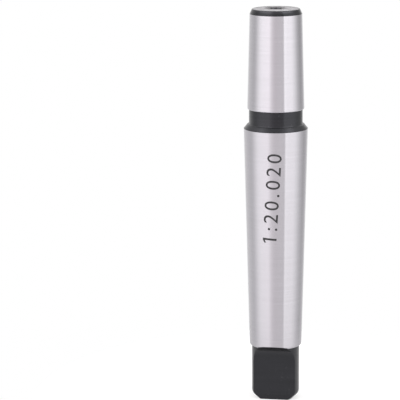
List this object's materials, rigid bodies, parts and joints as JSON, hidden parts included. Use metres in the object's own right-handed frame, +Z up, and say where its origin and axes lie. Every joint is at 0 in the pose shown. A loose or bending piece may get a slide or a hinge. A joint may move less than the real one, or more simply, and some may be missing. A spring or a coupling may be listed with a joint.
{
  "type": "drill chuck arbor",
  "caption": "Steel arbor with a long Morse taper shank and flat-sided tang at one end, a black necked shoulder, and a short self-holding taper for a drill chuck at the other.",
  "frame": {"origin": "middle of the tang's end face, on which the arbor stands", "axes": "+Z up the arbor's axis, from the tang to the chuck taper; the tang's two flats face -Y and +Y"},
  "size_m": [0.018, 0.018, 0.1121],
  "materials": {
    "arbor_steel": "cylindrically ground and bright on both tapers, black oxide on the tang, the neck, its shoulder and the chamfer of the chuck end, bare turned end face"
  },
  "bodies": {
    "root": {"arbor": "arbor_steel"}
  },
  "joints": []
}
